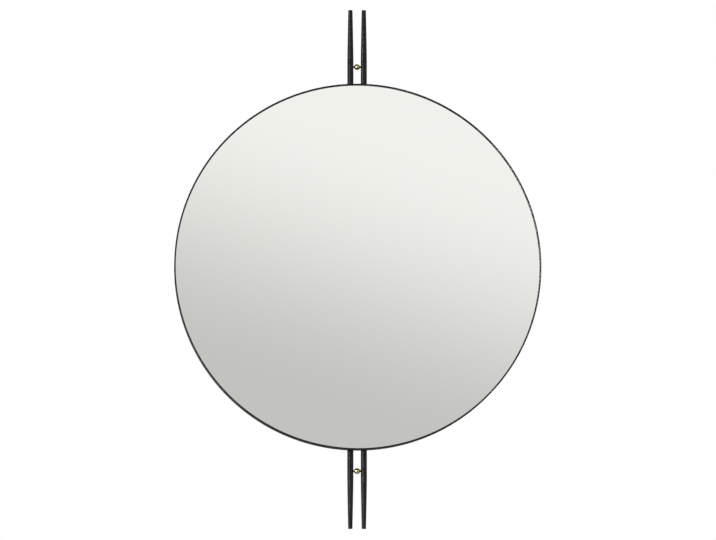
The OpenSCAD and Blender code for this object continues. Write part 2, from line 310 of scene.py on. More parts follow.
def grid(points, closed=False, wear=0.0, zone=0):
    """One surface for make_piece. points[row, column] is in millimetres, columns always run round,
    closed joins the last row to the first. wear and zone, the finish's number, go by row, or wear
    by point."""
    shape = points.shape[:2]
    wear = wear if np.ndim(wear) == 2 else np.reshape(wear, (-1, 1))
    return {
        "points": points,
        "closed": closed,
        "wear": np.broadcast_to(wear, shape),
        "zone": np.broadcast_to(np.reshape(zone, (-1, 1)), shape),
    }


def grid_faces(rows, columns, closed):
    """Corners of a grid's faces: point (r, c) with (r, c + 1), (r + 1, c + 1) and (r + 1, c)."""
    row = np.arange(rows if closed else rows - 1)[:, None]
    column = np.arange(columns)[None, :]
    next_row, next_column = (row + 1) % rows, (column + 1) % columns
    corners = [(row, column), (row, next_column), (next_row, next_column), (next_row, column)]
    return np.stack([r * columns + c for r, c in corners], -1).reshape(-1, 4)


def make_piece(name, grids, look, node=None, body="mirror", keep=None):
    """Joins the grids into one object that rides on a body and takes a CAD node's place. look is a
    slot's name, which is not used, and its finishes, one to a zone, and a face has its first row's
    zone. keep(points of each face) may drop faces."""
    slot, *finishes = look
    starts = np.cumsum([0] + [g["wear"].size for g in grids])
    faces = np.vstack([
        grid_faces(*g["wear"].shape, g["closed"]) + start for g, start in zip(grids, starts)
    ])
    points = np.vstack([g["points"].reshape(-1, 3) for g in grids])
    wear, zone = (np.hstack([g[key].ravel() for g in grids]) for key in ("wear", "zone"))
    if keep:
        faces = faces[keep(points[faces])]
    mesh = bpy.data.meshes.new(name)
    mesh.from_pydata((points * MM).tolist(), [], faces.tolist())
    mesh.attributes.new("wear", "FLOAT", "POINT").data.foreach_set("value", wear.astype(np.float32))
    mesh.polygons.foreach_set("material_index", zone[faces[:, 0]].astype(np.int32))
    shell = bmesh.new()
    shell.from_mesh(mesh)
    bmesh.ops.remove_doubles(shell, verts=shell.verts, dist=MERGE_DISTANCE)
    bmesh.ops.recalc_face_normals(shell, faces=shell.faces)
    open_edges = sum(not edge.is_manifold for edge in shell.edges)
    shell.to_mesh(mesh)
    shell.free()
    mesh.shade_smooth()
    mesh.set_sharp_from_angle(angle=SMOOTH_BELOW)
    for finish in finishes:
        mesh.materials.append(finish)
    piece = put(name, mesh)
    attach(piece, body)
    said = "%s: %d faces, %d open edges" % (name, len(mesh.polygons), open_edges)
    if node:
        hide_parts(node)
        low, high = (np.array(corner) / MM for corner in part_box(node))
        apart = max(np.abs(points.min(0) - low).max(), np.abs(points.max(0) - high).max())
        said += ", box within %.2f mm of its solid" % apart
    print(said)


# %% [markdown]
# ## Profiles with rounded corners
#
# Nothing real has a knife edge. A polygon of corners, each with its own radius, becomes a profile:
# a corner gives way to an arc that touches both of its sides, and one point is held a little before
# and after the arc, so that the flats between stay flat when they are shaded smooth. Turned about an
# axis, such a profile makes hoop, glass, board, plugs and bars.

# %% Rounded profile, arc and turning
HELD = 0.4
EASED = 0.3


def unit(vectors):
    return vectors / np.linalg.norm(vectors, axis=-1, keepdims=True)


def rounded(corners, radii, steps=4):
    """The closed polygon through corners with an arc at each. The arc's middle lies on the corner's
    bisector at radius / sin(half angle), and it spans 90 degrees less the half angle to each side.
    Returns points and wear. A corner with radius 0 stays as it is."""
    corners = np.asarray(corners, float)
    radius = np.broadcast_to(np.asarray(radii, float), len(corners))[:, None]
    to_last = unit(np.roll(corners, 1, 0) - corners)
    to_next = unit(np.roll(corners, -1, 0) - corners)
    inward, across = unit(to_last + to_next), unit(to_next - to_last)
    half = np.arccos((to_last * inward).sum(1, keepdims=True))
    middle = corners + inward * radius / np.sin(half)
    turn = np.linspace(-1, 1, steps + 1)[None, :, None] * (np.pi / 2 - half)[:, None]
    arcs = middle[:, None] + radius[:, None] * (
        across[:, None] * np.sin(turn) - inward[:, None] * np.cos(turn)
    )
    held = HELD * radius
    before, after = arcs[:, 0] + to_last * held, arcs[:, -1] + to_next * held
    points = np.hstack([before[:, None], arcs, after[:, None]])
    worn = np.r_[0, np.ones(steps + 1), 0] * (radius > 0)
    return points.reshape(-1, 2), worn.ravel()


def arc(middle, radius, start, end, steps):
    """Points on a circle, from one angle to another in degrees."""
    angle = np.radians(np.linspace(start, end, steps + 1))
    return np.c_[middle[0] + radius * np.cos(angle), middle[1] + radius * np.sin(angle)]


def lengths_along(points):
    """How far along a line of points each of them lies."""
    return np.r_[0, np.cumsum(np.linalg.norm(np.diff(points, axis=0), axis=1))]


def round_angles(columns):
    return np.linspace(0, 2 * np.pi, columns, endpoint=False)


def turned(profile, centre, axis, columns, closed=False, zone=0):
    """A profile turned round. It is a pair: points of (distance along the axis, radius), and wear.
    point = centre + distance * axis + radius * (cos * side + sin * up), with side and up square to
    the axis."""
    points, worn = profile
    axis = np.asarray(axis, float)
    side = np.array([axis[1], axis[2], axis[0]])
    angle = round_angles(columns)[:, None]
    spokes = side * np.cos(angle) + np.cross(axis, side) * np.sin(angle)
    along, radius = points[:, 0, None, None], points[:, 1, None, None]
    return grid(np.asarray(centre) + along * axis + radius * spokes, closed, worn, zone)


print("a rounded square has", len(rounded([[0, 0], [1, 0], [1, 1], [0, 1]], 0.1)[0]), "points")

# %% [markdown]
# ## Helpers that every finish uses
#
# A finish is one Principled shader whose colour, roughness and bump vary over the surface. Patterns
# read Object coordinates, which are the shared frame in metres here, so a grain of half a
# millimetre has a scale of 2000. The wear number from the mesh and some noise together say where
# an edge is rubbed: not all along it, but here and there.

# %% Patterns and the closing shader
def new_finish(name):
    return Finish(bpy.data.materials.new(name))


def spots(finish, scale, detail=2.0, stretch=(1.0, 1.0, 1.0), low=0.3, high=0.7):
    """Cloudy noise on Object coordinates, from 0 to 1, with scale in grains to the metre.
    stretch multiplies the scale along x, y and z."""
    place = finish.node("TexCoord", output="Object")
    place = finish.node("Mapping", {"Vector": place, "Scale": stretch})
    noise = finish.node("TexNoise", {"Vector": place, "Scale": scale, "Detail": detail})
    return step_between(noise, low, high)


def rubbed(finish, scale=220.0):
    """Where edges are rubbed: the mesh's wear times noise."""
    return finish.node("Attribute", output="Fac", attribute_name="wear") * spots(finish, scale)


def settled(finish):
    """Where dust settles: on what faces up, in clouds."""
    normal = finish.node("NewGeometry", output="Normal")
    upwards = finish.node("SeparateXYZ", {0: normal}, "Z")
    return step_between(upwards, 0.55, 0.98) * spots(finish, 90.0)


def blend_of(share, first, second):
    """The first colour where share is 0, and the second where it is 1."""
    first, second = (c if isinstance(c, Value) else (*c, 1.0) for c in (first, second))
    return share.finish.node("Mix", {0: share, 6: first, 7: second}, 2, data_type="RGBA")


def close_finish(finish, colour, roughness, height, depth, **constants):
    """Ends a finish: a Bump of that depth in metres and a Principled shader. Constants are set on
    the shader's own sockets, with underscores for the spaces in their names."""
    bump = finish.node("Bump", {"Height": height, "Distance": depth})
    sockets = {"Base Color": colour, "Roughness": roughness, "Normal": bump}
    sockets.update({name.replace("_", " "): value for name, value in constants.items()})
    shader = finish.node("BsdfPrincipled", sockets)
    finish.node("OutputMaterial", {"Surface": shader})
    print("finish:", finish.owner.name, "with", len(finish.tree.nodes), "nodes")
    return finish.owner


# %% [markdown]
# ## Black powder coat
#
# Hoop, rods, rails and saddles are steel with a fine-textured powder coat: sprayed on dry, then
# baked, which leaves a soft peel of a millimetre or so and a finer grain in it. It is a deep black
# that mirrors little, so its specular level is set low. Where hands and boxes rub an edge it turns
# a shade greyer and smoother, and dust greys what faces up.

# %% Powder coat
def powder_coat():
    f = new_finish("powder_coat_black")
    edge, dust = rubbed(f), settled(f)
    colour = blend_of(spots(f, 14), (0.005, 0.005, 0.0054), (0.0085, 0.0085, 0.009))
    colour = blend_of(edge * 0.5, colour, (0.03, 0.03, 0.031))
    colour = blend_of(dust * 0.22, colour, (0.06, 0.058, 0.054))
    roughness = 0.36 + spots(f, 320, 3) * 0.1 + dust * 0.16 - edge * 0.08
    height = spots(f, 900, 3) * 0.7 + spots(f, 2600, 2) * 0.3
    return close_finish(f, colour, roughness, height, 0.00002, Specular_IOR_Level=0.18)


black = "black_powder_coat", powder_coat()

# %% [markdown]
# ## Silvered glass
#
# The mirror is float glass with silver behind it: a metal under four millimetres of clear glass,
# faintly warm here, nearly without roughness. Three small faults keep it real: a few microns of
# unevenness over a hand's width, faint wiping marks and a few specks of dust. Its ground edge is a
# frosted grey green, and its back is painted.

# %% Mirror, ground edge and back paint
def silvered():
    f = new_finish("mirror_silvered")
    wiped = spots(f, 9, 3, (1.0, 1.0, 0.25), 0.45, 0.8)
    specks = spots(f, 420, 1, low=0.8, high=0.86)
    colour = blend_of(spots(f, 3), (0.902, 0.9, 0.862), (0.898, 0.898, 0.864))
    colour = blend_of(specks * 0.3, colour, (0.74, 0.74, 0.73))
    roughness = 0.012 + wiped * 0.01 + specks * 0.12
    return close_finish(f, colour, roughness, spots(f, 5, 1, low=0.0, high=1.0), 0.000004, Metallic=1.0)


def ground_edge():
    f = new_finish("glass_edge_ground")
    lines = spots(f, 400, 2, (1.0, 6.0, 1.0))
    colour = blend_of(lines, (0.1, 0.15, 0.13), (0.2, 0.27, 0.24))
    return close_finish(f, colour, 0.34 + lines * 0.12, lines, 0.00003, IOR=1.52)


def back_paint():
    f = new_finish("mirror_back_paint")
    clouds = spots(f, 30, 3)
    colour = blend_of(clouds, (0.16, 0.19, 0.18), (0.2, 0.23, 0.22))
    return close_finish(f, colour, 0.42 + clouds * 0.1, spots(f, 700), 0.00003)


mirror_look = "silvered_glass", silvered(), ground_edge(), back_paint()

# %% [markdown]
# ## Polished brass
#
# The beads are turned from bar and polished. Turning leaves hair-fine rings about the bead's long
# axis, which is x here, so their height is noise in x alone. Towards the pins the metal is duller,
# and its colour is darkened there as painted shade where bead and pin meet.

# %% Brass
BEAD_R = 6.7


def brass():
    f = new_finish("brass_polished")
    place = f.node("TexCoord", output="Object")
    across = f.node("SeparateXYZ", {0: place})
    rings = f.node("TexNoise", {"W": across, "Scale": 4200.0}, noise_dimensions="1D")
    neck_shade_and_dulling = step_between(abs(across), 0.66 * BEAD_R * MM, 1.05 * BEAD_R * MM)
    clouds = spots(f, 260, 3)
    colour = blend_of(clouds * 0.5, (0.46, 0.402, 0.215), (0.37, 0.315, 0.155))
    # painted shade: the colour darkens towards the pins, where bead and pin meet
    colour = blend_of(neck_shade_and_dulling * 0.9, colour, (0.1, 0.074, 0.036))
    roughness = 0.25 + clouds * 0.06 + neck_shade_and_dulling * 0.2
    return close_finish(f, colour, roughness, rings, 0.000006, Metallic=1.0)


bead_look = "polished_brass", brass()

# %% [markdown]
# ## Steels, zinc and the rest
#
# Behind the glass the finishes are a workshop's. Screws and washers are bright zinc over steel, with
# a cloudy blue-yellow tone. The rail screws are oiled black oxide. The hanger bars are plain drawn
# steel, lined along their length. The brackets are galvanised, which freezes into flat crystals:
# cells of a texture, each with one random grey.

# %% Zinc, black oxide, drawn steel and galvanised steel
def zinc_plate():
    f = new_finish("zinc_plate")
    edge, clouds = rubbed(f, 500), spots(f, 160, 3)
    colour = blend_of(clouds, (0.6, 0.61, 0.66), (0.68, 0.66, 0.6))
    colour = blend_of(edge, colour, (0.78, 0.78, 0.79))
    roughness = 0.27 + clouds * 0.12 - edge * 0.06
    return close_finish(f, colour, roughness, spots(f, 1800), 0.00002, Metallic=1.0)


def black_oxide():
    f = new_finish("black_oxide")
    edge, clouds = rubbed(f, 500), spots(f, 300, 3)
    colour = blend_of(clouds, (0.03, 0.031, 0.034), (0.05, 0.049, 0.048))
    colour = blend_of(edge * 0.7, colour, (0.22, 0.22, 0.22))
    return close_finish(f, colour, 0.3 + clouds * 0.12, spots(f, 2000), 0.00002, Metallic=0.8)


def drawn_steel():
    f = new_finish("drawn_steel")
    lines, clouds = spots(f, 60, 3, (1.0, 40.0, 40.0)), spots(f, 120)
    colour = blend_of(lines, (0.5, 0.49, 0.48), (0.6, 0.6, 0.6))
    colour = blend_of(clouds * 0.2, colour, (0.34, 0.29, 0.24))
    return close_finish(f, colour, 0.26 + lines * 0.14, lines, 0.00002, Metallic=1.0)


def galvanised():
    f = new_finish("galvanised")
    edge = rubbed(f, 400)
    place = f.node("TexCoord", output="Object")
    cells = f.node("TexVoronoi", {"Vector": place, "Scale": 150.0}, "Color")
    crystal = f.node("SeparateColor", {0: cells})
    feather = spots(f, 700, 3, (1.0, 1.0, 3.0))
    colour = blend_of(crystal * 0.5 + feather * 0.35, (0.48, 0.49, 0.51), (0.66, 0.67, 0.68))
    colour = blend_of(edge * 0.6, colour, (0.74, 0.74, 0.75))
    roughness = 0.32 + crystal * 0.12 + feather * 0.08
    return close_finish(f, colour, roughness, feather * 0.5 + crystal, 0.00003, Metallic=1.0)


zinc = "zinc_plated_steel", zinc_plate()
oxide = "black_screw_steel", black_oxide()
bare_steel = "bare_steel", drawn_steel()
galvanised_steel = "galvanised_steel", galvanised()

# %% [markdown]
# The board is dyed fibreboard, sealed and matt, with a felt of short fibres in its face. Between it
# and the glass lie a grey safety film and strips of white foam tape, and black rubber seals the
# glass in the hoop.

# %% Fibreboard, rubber, film and foam
def fibreboard():
    f = new_finish("fibreboard_dyed")
    edge, dust = rubbed(f, 150), settled(f)
    fibres = spots(f, 260, 5, (1.0, 1.0, 0.35))
    colour = blend_of(fibres, (0.04, 0.036, 0.033), (0.072, 0.064, 0.057))
    colour = blend_of(spots(f, 6, 2) * 0.35, colour, (0.085, 0.075, 0.066))
    colour = blend_of(edge * 0.5 + dust * 0.3, colour, (0.16, 0.13, 0.1))
    height = fibres * 0.6 + spots(f, 1500, 2) * 0.4
    return close_finish(f, colour, 0.66 + fibres * 0.16, height, 0.00012, Specular_IOR_Level=0.35)


def rubber():
    f = new_finish("rubber_black")
    grain = spots(f, 900, 3)
    colour = blend_of(grain, (0.01, 0.01, 0.01), (0.017, 0.017, 0.017))
    return close_finish(f, colour, 0.62 + grain * 0.16, grain, 0.00004, Specular_IOR_Level=0.3)


def film():
    f = new_finish("safety_film_grey")
    weave = spots(f, 500, 2, (1.0, 1.0, 4.0))
    colour = blend_of(weave, (0.42, 0.45, 0.48), (0.52, 0.55, 0.58))
    return close_finish(f, colour, 0.4 + weave * 0.1, weave, 0.00003)


def foam():
    f = new_finish("foam_tape_white")
    place = f.node("TexCoord", output="Object")
    pores = f.node("TexVoronoi", {"Vector": place, "Scale": 1400.0})
    colour = blend_of(pores, (0.86, 0.86, 0.83), (0.7, 0.7, 0.67))
    return close_finish(f, colour, 0.75 + spots(f, 200) * 0.1, pores, 0.0001)


board_look = "fibreboard", fibreboard()
seal_look = "black_rubber", rubber()
film_look = "safety_film", film()
tape_look = "foam_tape", foam()

# %% [markdown]
# ## The hoop
#
# The hoop is a strip of steel rolled on edge into a circle, with a flat ring welded inside as a
# flange for the board. Its wall runs back nearly to the rods and hides the rails from the side. Its
# section is one closed profile of eight corners, turned about the mirror's axis. From the room only
# the thin front edge shows, and inside it, at top and bottom, a dark line of the wall down to the
# glass, eight millimetres deep. Distances are millimetres, and the room's wall is at y = 0.

# %% Hoop
RING_R = 400.0
RING_IN_R = 397.75
RING_REAR_Y = -22.5
RING_FRONT_Y = -67.3
FLANGE_IN_R = 378.0
FLANGE_REAR_Y = -38.0
FLANGE_FRONT_Y = -41.0
ROOMWARDS = (0.0, -1.0, 0.0)


def about_middle(corners, radii, closed=False, columns=600, steps=4, zone=0):
    """A surface turned about the mirror's axis, from corners given as (radius, y)."""
    radius, y = np.array(corners, float).T
    profile = rounded(np.c_[-y, radius], radii, steps)
    return turned(profile, (0, 0, 0), ROOMWARDS, columns, closed, zone)


hoop = about_middle(
    [(RING_R, RING_REAR_Y), (RING_R, RING_FRONT_Y), (RING_IN_R, RING_FRONT_Y),
     (RING_IN_R, FLANGE_FRONT_Y), (FLANGE_IN_R, FLANGE_FRONT_Y), (FLANGE_IN_R, FLANGE_REAR_Y),
     (RING_IN_R, FLANGE_REAR_Y), (RING_IN_R, RING_REAR_Y)],
    [0.8, 0.8, 0.8, 0.4, 0.5, 0.5, 0.4, 0.8], closed=True,
)
make_piece("steel_hoop", [hoop], black, "frame_ring")

# %% [markdown]
# ## Weld beads
#
# The flange is held to the hoop by short stitches of weld in the corner behind it, and the hooks
# are welded to their plates the same way. A weld is laid in overlapping puddles, so its leg, which
# is how far it reaches on each wall, ripples along its length. It grows from nothing and dies away.

# %% Weld bead
WELD_LEG = 3.0
WELD_RIPPLE = 1.7
STITCH_HALF_LENGTH = 13.0


def weld_bead(path, wall_a, wall_b, leg):
    """A bead along path, in the corner of two walls that run off along wall_a and wall_b. Its
    outline is leg * (a cos t + b sin t) from t = 0 to 90 degrees, drawn in between by a fifth. At
    a share s of its length the leg is scaled by sqrt(min(1, 4 sin(pi s))), and by the ripple."""
    length = lengths_along(path)
    arch = np.clip(np.sin(np.pi * length / length[-1]) * 4, 0, 1) ** 0.5
    size = leg * arch * (1 + 0.09 * np.sin(2 * np.pi * length / WELD_RIPPLE))
    t = np.radians(np.linspace(0, 90, 9))
    drawn_in = 1 - 0.2 * np.sin(2 * t)
    outline_a = np.r_[0, drawn_in * np.cos(t)][None, :, None]
    outline_b = np.r_[0, drawn_in * np.sin(t)][None, :, None]
    spread = outline_a * wall_a[:, None] + outline_b * wall_b[:, None]
    return grid(path[:, None] + size[:, None, None] * spread, wear=0.3)


def flange_stitch(angle):
    """A stitch in the corner of flange and hoop, at an angle round the mirror in degrees."""
    reach = math.degrees(STITCH_HALF_LENGTH / RING_IN_R)
    a = np.radians(np.linspace(angle - reach, angle + reach, 60))
    outward = np.c_[np.cos(a), 0 * a, np.sin(a)]
    path = outward * RING_IN_R + [0, FLANGE_REAR_Y, 0]
    return weld_bead(path, -outward, np.broadcast_to([0.0, 1.0, 0.0], path.shape), WELD_LEG)


make_piece("hoop_welds", [flange_stitch(angle) for angle in range(0, 360, 30)], black)

# %% [markdown]
# ## Glass and seal
#
# The pane is turned as one closed profile: front face, arris, edge, arris, back. The faces get
# three finishes by zone, silver in front, ground glass round the edge and paint behind. The seal is
# a thin rubber strip pressed in between pane and hoop. Its front is rounded and stops short of the
# glass's face, so it reads as a fine shadow line.

# %% Glass pane and edge strip
GLASS_R = 397.05
GLASS_FRONT_Y = -59.3
GLASS_BACK_Y = -55.3
ARRIS = 0.5
FIT = 0.05

# of the pane's 30 rows, 0 to 4 begin the silvered front, and 24 to 29 the painted back
pane = about_middle(
    [(0.0, GLASS_FRONT_Y), (GLASS_R - ARRIS, GLASS_FRONT_Y), (GLASS_R, GLASS_FRONT_Y + ARRIS),
     (GLASS_R, GLASS_BACK_Y - ARRIS), (GLASS_R - ARRIS, GLASS_BACK_Y), (0.0, GLASS_BACK_Y)],
    [0.0, 0.06, 0.06, 0.06, 0.06, 0.0], steps=2, zone=np.repeat([0, 1, 2], [5, 19, 6]),
)
make_piece("glass_pane", [pane], mirror_look, "mirror_glass")

seal = about_middle(
    [(GLASS_R + FIT, GLASS_BACK_Y), (GLASS_R + FIT, GLASS_FRONT_Y + ARRIS),
     (RING_IN_R - FIT, GLASS_FRONT_Y + ARRIS), (RING_IN_R - FIT, GLASS_BACK_Y)],
    [0.1, 0.28, 0.28, 0.1], closed=True,
)
make_piece("rubber_strip", [seal], seal_look, "edge_seal")

# %% [markdown]
# ## Board behind the glass
#
# The board is a plain disc with eased edges. Film and tape lie hidden between board and glass, so
# they keep their solids and only get a finish.

# %% Board, film and tape
BOARD_R = 396.95
BOARD_FRONT_Y = -53.0

board = about_middle(
    [(0.0, FLANGE_FRONT_Y), (BOARD_R, FLANGE_FRONT_Y), (BOARD_R, BOARD_FRONT_Y), (0.0, BOARD_FRONT_Y)],
    [0.0, 0.7, 0.7, 0.0], columns=360,
)
make_piece("fibre_board", [board], board_look, "backing_board")


def dress(node, look):
    """Gives a CAD node the finish of a look through its object's material slots."""
    finish = look[1]
    for material_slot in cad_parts[node].material_slots:
        material_slot.material = finish
    print(node, "keeps its solid and gets", finish.name)


dress("safety_film", film_look)
dress("mounting_tape", tape_look)

# %% [markdown]
# ## Rods
#
# Each rod is a steel tube, swaged at both ends to a taper that starts softly and narrows it by almost
# a third. The radius at a distance from the tip is the tip's plus a share of the difference,
# 1 - (1 - distance / taper length) ^ 1.25. Outside and bore are one closed profile, turned about the
# rod's axis.

# %% Rods
ROD_X = 14.75
ROD_Y = -15.25
ROD_R = 6.75
ROD_TIP_R = 4.7
ROD_HALF_LENGTH = 570.0
PLUG_HEIGHT = 5.5
TUBE_HALF_LENGTH = ROD_HALF_LENGTH - PLUG_HEIGHT
TAPER_LENGTH = 114.0
TAPER_POWER = 1.25
TUBE_WALL = 2.0
SEAM_EASED = 0.25
UPWARDS = (0.0, 0.0, 1.0)
SIDES = ("left", -1), ("right", 1)
ENDS = ("upper", 1), ("lower", -1)


def rod_radius(z):
    """Radius of a rod at a height, by the swaged taper's formula."""
    distance = np.clip((ROD_HALF_LENGTH - np.abs(z)) / TAPER_LENGTH, 0, 1)
    return ROD_TIP_R + (ROD_R - ROD_TIP_R) * (1 - (1 - distance) ** TAPER_POWER)


def tube_profile():
    """Outside from the lower end to the upper, then the bore back down, as (height, radius)."""
    straight = ROD_HALF_LENGTH - TAPER_LENGTH
    taper = np.linspace(straight, TUBE_HALF_LENGTH - EASED, 40)
    z = np.r_[-taper[::-1], np.linspace(-straight, straight, 24)[1:-1], taper]
    outside = np.c_[z, rod_radius(z)]
    eased = np.array([[TUBE_HALF_LENGTH, rod_radius(TUBE_HALF_LENGTH) - SEAM_EASED]])
    inside = (outside - [0, TUBE_WALL])[::-1]
    points = np.vstack([eased * [-1, 1], outside, eased, inside])
    worn = np.zeros(len(points))
    worn[[0, 1, len(z), len(z) + 1]] = 1
    return points, worn


for name, side in SIDES:
    tube = turned(tube_profile(), (side * ROD_X, ROD_Y, 0), UPWARDS, 96, True)
    make_piece("tube_" + name, [tube], black, "rod_" + name)

# %% [markdown]
# ## Plugs in the rods' ends
#
# A tube's end would be an open hole, so a turned plug closes it: a spigot in the bore, and a head
# that carries the taper on to a flat end with a small round. Its lower edge is eased, which leaves
# a hairline where plug meets tube.

# %% Tip plugs
SPIGOT_LENGTH = 12.0
seam_r = float(rod_radius(TUBE_HALF_LENGTH))
spigot_r = seam_r - TUBE_WALL - FIT
plug_profile = rounded(
    [(-SPIGOT_LENGTH, 0), (-SPIGOT_LENGTH, spigot_r), (0, spigot_r), (0, seam_r),
     (PLUG_HEIGHT, ROD_TIP_R), (PLUG_HEIGHT, 0)],
    [0, 0.3, 0, 0.25, 1.2, 0], 6,
)
for height, up in ENDS:
    for name, side in SIDES:
        plug = turned(plug_profile, (side * ROD_X, ROD_Y, up * TUBE_HALF_LENGTH), (0, 0, up), 96)
        make_piece("plug_%s_%s" % (height, name), [plug], black, "rod_tip_%s_%s" % (height, name))

# %% [markdown]
# ## Brass beads
#
# Each bead is turned in one with its pin: a ball that runs out through a small hollow on each side
# into a pin, which enters a hole in the rod. The profile is made of arcs that touch: hollow, ball,
# hollow. Where they touch follows from their radii, as the side of a right triangle.

# %% Beads
BEAD_Z = 444.0
PIN_R = 2.1
HOLLOW_R = 2.0
PIN_HALF_LENGTH = 12.5
RIGHTWARDS = (1.0, 0.0, 0.0)

hollow_from_axis = PIN_R + HOLLOW_R
hollow_along = math.sqrt((BEAD_R + HOLLOW_R) ** 2 - hollow_from_axis**2)
meeting = math.degrees(math.atan2(hollow_from_axis, hollow_along))
bead_half = np.vstack([
    arc((0, 0), BEAD_R, 90, meeting, 26),
    arc((hollow_along, hollow_from_axis), HOLLOW_R, 180 + meeting, 270, 8)[1:],
    [(PIN_HALF_LENGTH - EASED, PIN_R), (PIN_HALF_LENGTH, PIN_R - EASED), (PIN_HALF_LENGTH, 0)],
])
bead_points = np.vstack([(bead_half * [-1, 1])[::-1], bead_half[1:]])
for height, up in ENDS:
    bead = turned((bead_points, 0.0), (0, ROD_Y, up * BEAD_Z), RIGHTWARDS, 96)
    make_piece("bead_" + height, [bead], bead_look, "brass_bead_" + height)

# %% [markdown]
# ## Cross rails
#
# Two flat steel bars lie across the back of the flange and carry the rods, their ends cut to the
# curve of the hoop. The grid's rows run along the bar and its columns round its section, a rectangle
# with eased corners. With u from -1 to 1 along the bar, x = u * sqrt(R^2 - z^2), so both ends follow
# the circle. Rows that shrink towards the middle close them.

# %% Rails
RAIL_Z = 300.0
RAIL_HEIGHT = 30.0
RAIL_REAR_Y = -34.0
RAIL_END_R = RING_IN_R - 1.5
RAIL_ROWS = 41
END_SHARE = 0.9985
END_SIZES = [0, 0.5, 0.97]


def refined(points, values, longest):
    """Adds points on the sides of a closed profile, so that none is longer than asked."""
    loop = np.vstack([points, points[:1]])
    length = lengths_along(loop)
    at = np.union1d(length, np.arange(0, length[-1], longest))[:-1]
    first, second = (np.interp(at, length, loop[:, k]) for k in (0, 1))
    return np.c_[first, second], np.interp(at, length, np.r_[values, values[0]])


def rail(up):
    """A rail above or below the middle."""
    front, rear = FLANGE_REAR_Y, RAIL_REAR_Y
    low, high = up * RAIL_Z - RAIL_HEIGHT / 2, up * RAIL_Z + RAIL_HEIGHT / 2
    outline, worn = rounded([(front, low), (rear, low), (rear, high), (front, high)], 0.6, 3)
    outline, worn = refined(outline, worn, 2.0)
    middle = np.array([(front + rear) / 2, up * RAIL_Z])
    size = np.r_[END_SIZES, np.ones(RAIL_ROWS), END_SIZES[::-1]]
    along = np.r_[[-1] * 3, np.linspace(-END_SHARE, END_SHARE, RAIL_ROWS), [1] * 3]
    y, z = np.moveaxis(middle + (outline - middle) * size[:, None, None], 2, 0)
    x = along[:, None] * np.sqrt(RAIL_END_R**2 - z**2)
    return grid(np.stack([x, y, z], 2), wear=np.broadcast_to(worn, x.shape))


for height, up in ENDS:
    make_piece("rail_" + height, [rail(up)], black, "cross_rail_" + height)

# %% [markdown]
# ## Screws
#
# Every screw is a button head with a hexagon socket, seen from behind. A row of the grid has a
# height, a radius and a share of hexagon. In a hexagon the radius at an angle is the corner's radius
# times cos 30 / cos(angle within the side - 30), so rows from the dome inwards change from circle to
# hexagon, go down the socket and close on its floor.

# %% Button screws
SOCKET_SHARE = 0.6
EDGE_SHARE = 0.35


def screw(x, z, seat_y, shank_length, shank_r, r, h, key_r):
    """A screw at x and z whose head stands on seat_y and faces the wall, from its shank's length
    and radius, its head's radius and height, and the socket's radius."""
    edge_h = h * EDGE_SHARE
    dome = arc((edge_h, r - (h - edge_h)), h - edge_h, 90, 0, 8)
    socket_floor = h * (1 - SOCKET_SHARE)
    rows = np.vstack([
        [(-shank_length, 0, 0), (-shank_length, shank_r - EASED, 0)],
        [(EASED - shank_length, shank_r, 0), (0, shank_r, 0), (0, r - 0.2, 0), (0.2, r, 0)],
        np.insert(dome, 2, 0, axis=1),
        [(h, key_r + 0.25, 0.6), (h, key_r + 0.08, 1), (h - 0.1, key_r, 1)],
        [(socket_floor, key_r, 1), (socket_floor - 0.25, 0, 0)],
    ])
    angle = round_angles(48)
    hexagon = math.cos(math.pi / 6) / np.cos(angle % (math.pi / 3) - math.pi / 6)
    height, radius, share = rows.T[:, :, None]
    radius = radius * (1 - share + share * hexagon)
    across, upwards = radius * np.cos(angle), radius * np.sin(angle)
    worn = np.zeros(len(rows))
    worn[4:12] = 0.6  # the head's rim and dome
    worn[-5:-2] = 1  # the mouth of the socket
    return grid(np.stack([x + across, seat_y + height + 0 * angle, z + upwards], 2), wear=worn)


FLANGE_MID_R = (RING_IN_R + FLANGE_IN_R) / 2
BOARD_SCREW = (12.0, 1.75, 3.4, 2.2, 1.15)
rail_end_angle = math.degrees(math.asin(RAIL_Z / FLANGE_MID_R))
beside, above = rail_end_angle / 3, (90 - rail_end_angle) / 2
board_screw_angles = np.radians([
    -beside, 180 - beside, beside, 180 + beside, 90 - above, 270 - above, 90 + above, 270 + above
])
board_screws = [
    screw(FLANGE_MID_R * math.cos(a), FLANGE_MID_R * math.sin(a), FLANGE_REAR_Y, *BOARD_SCREW)
    for a in board_screw_angles
]
make_piece("screws_of_board", board_screws, zinc, "board_screws")

# %% [markdown]
# The rails' screws sit on the flange in pairs, one above and one below the rail's middle, on the
# same circle as the board's.

# %% Rail screws
RAIL_SCREW_STEP = 8.0
RAIL_SCREW = (7.0, 2.0, 3.6, 2.2, 1.4)

for height, up in ENDS:
    rail_screws = [
        screw(side * math.sqrt(FLANGE_MID_R**2 - z**2), z, RAIL_REAR_Y, *RAIL_SCREW)
        for side in (-1, 1)
        for z in (up * RAIL_Z - RAIL_SCREW_STEP, up * RAIL_Z + RAIL_SCREW_STEP)
    ]
    make_piece("screws_of_rail_" + height, rail_screws, oxide, "rail_screws_" + height)

# %% [markdown]
# ## Saddles, washers and the rods' screws
#
# A round rod can't be screwed to a flat bar without crushing or rolling, so a saddle hollowed to the
# rod's round stands between them, and a hollowed washer lies under the screw's head. Both are one
# form: a short peg whose end is cut by the rod. Its length at a point is the lesser of its full
# length and the distance to the rod's surface, the distance to the rod's axis less sqrt(r^2 - x^2).

